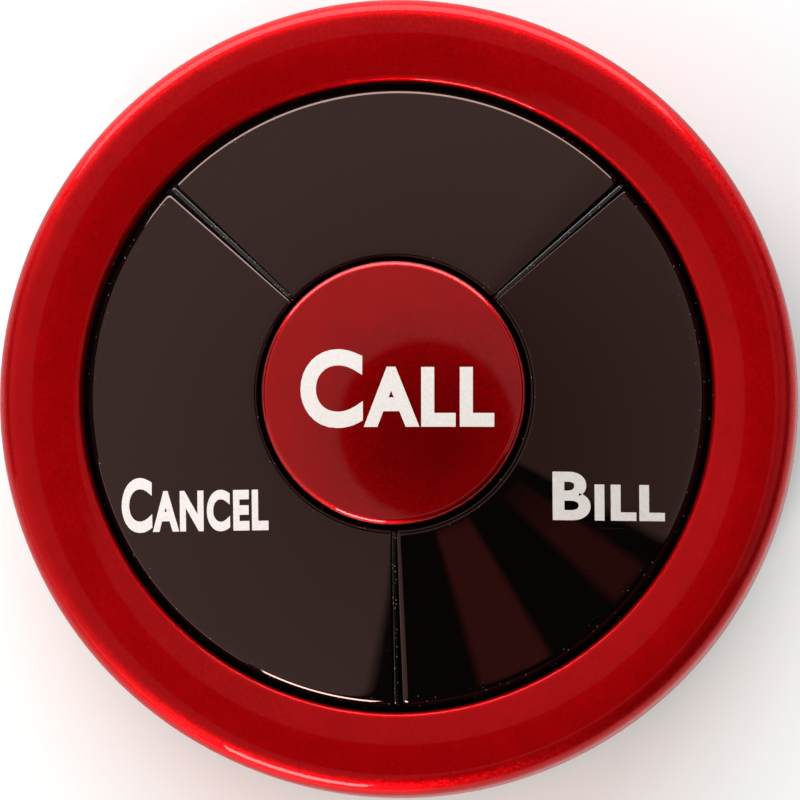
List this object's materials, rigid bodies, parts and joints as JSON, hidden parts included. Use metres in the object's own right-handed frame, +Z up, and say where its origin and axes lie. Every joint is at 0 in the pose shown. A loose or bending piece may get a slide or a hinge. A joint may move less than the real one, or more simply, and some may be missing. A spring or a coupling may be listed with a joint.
{
  "type": "waiter call button",
  "caption": "Round table-top call transmitter: red lacquered ring, raised black sector keys around a domed red call key, coin-turned battery door and a rubber anti-slip ring underneath.",
  "frame": {"origin": "centre of the face it rests on, on the axis of the round case", "axes": "+Z up out of the call key; +Y towards the blank sector; +X to the right, so that the bill key is on the right and the cancel key on the left"},
  "size_m": [0.06, 0.06, 0.017],
  "materials": {
    "red_lacquer": "ABS with candy red metallic lacquer under a clear coat",
    "red_key_lacquer": "ABS with candy red metallic lacquer under a clear coat",
    "black_gloss": "moulded black plastic polished like piano lacquer, with fine hairlines",
    "black_moulding": "black ABS with a fine spark-eroded texture",
    "silicone": "soft dark grey silicone rubber, matt",
    "screw_steel": "zinc-plated steel",
    "spring_steel": "tinned spring strip",
    "nickel_steel": "nickel-plated steel sheet",
    "board_laminate": "glass-fibre laminate with green solder mask",
    "white_nylon": "natural nylon",
    "copper_wire": "enamelled copper wire",
    "chip_ceramic": "fired ceramic chips",
    "lamp_resin": "cast resin"
  },
  "bodies": {
    "case": {"anti_slip_ring": "silicone", "base_cover": "black_moulding", "battery_holder": "white_nylon", "battery_negative_contact": "spring_steel", "battery_positive_contact": "spring_steel", "bill_switch_base": "black_moulding", "bill_switch_cover": "nickel_steel", "bill_switch_dome": "spring_steel", "bill_switch_terminals": "spring_steel", "blank_sector": "black_gloss", "board_screws": "screw_steel", "call_switch_base": "black_moulding", "call_switch_cover": "nickel_steel", "call_switch_dome": "spring_steel", "call_switch_terminals": "spring_steel", "cancel_switch_base": "black_moulding", "cancel_switch_cover": "nickel_steel", "cancel_switch_dome": "spring_steel", "cancel_switch_terminals": "spring_steel", "case_screws": "screw_steel", "chip_capacitors": "chip_ceramic", "chip_resistors": "chip_ceramic", "circuit_board": "board_laminate", "coin_cell_can": "nickel_steel", "coin_cell_cap": "nickel_steel", "coin_cell_seal": "white_nylon", "encoder_chip": "black_moulding", "encoder_chip_legs": "spring_steel", "indicator_lamp": "lamp_resin", "key_frame": "black_moulding", "loop_antenna": "copper_wire", "resonator": "nickel_steel", "rf_transistor": "black_moulding", "top_housing": "red_lacquer"},
    "call_key": {"call_key": "red_key_lacquer"},
    "bill_key": {"bill_key": "black_gloss"},
    "cancel_key": {"cancel_key": "black_gloss"},
    "call_plunger": {"call_switch_plunger": "black_moulding"},
    "bill_plunger": {"bill_switch_plunger": "black_moulding"},
    "cancel_plunger": {"cancel_switch_plunger": "black_moulding"},
    "battery_door": {"battery_door": "black_moulding"}
  },
  "joints": [
    {"name": "call_press", "type": "slide", "parent": "case", "child": "call_key", "axis": [0, 0, -1], "range_m": [0, 0.0003], "stiffness_N_per_m": 2000, "springref_m": -0.0004},
    {"name": "call_plunger_travel", "type": "slide", "parent": "case", "child": "call_plunger", "axis": [0, 0, -1], "range_m": [0, 0.0003], "deforming": ["call_switch_dome"]},
    {"name": "bill_press", "type": "slide", "parent": "case", "child": "bill_key", "axis": [0, 0, -1], "range_m": [0, 0.0003], "stiffness_N_per_m": 2000, "springref_m": -0.0004},
    {"name": "bill_plunger_travel", "type": "slide", "parent": "case", "child": "bill_plunger", "axis": [0, 0, -1], "range_m": [0, 0.0003], "deforming": ["bill_switch_dome"]},
    {"name": "cancel_press", "type": "slide", "parent": "case", "child": "cancel_key", "axis": [0, 0, -1], "range_m": [0, 0.0003], "stiffness_N_per_m": 2000, "springref_m": -0.0004},
    {"name": "cancel_plunger_travel", "type": "slide", "parent": "case", "child": "cancel_plunger", "axis": [0, 0, -1], "range_m": [0, 0.0003], "deforming": ["cancel_switch_dome"]},
    {"name": "door_turn", "type": "hinge", "parent": "case", "child": "battery_door", "pos_m": [0, 0, 0.0006], "axis": [0, 0, -1], "range_deg": [0, 30]}
  ],
  "couplings": [
    {"joint": "call_plunger_travel", "follows": "call_press", "ratio": 1},
    {"joint": "bill_plunger_travel", "follows": "bill_press", "ratio": 1},
    {"joint": "cancel_plunger_travel", "follows": "cancel_press", "ratio": 1}
  ]
}
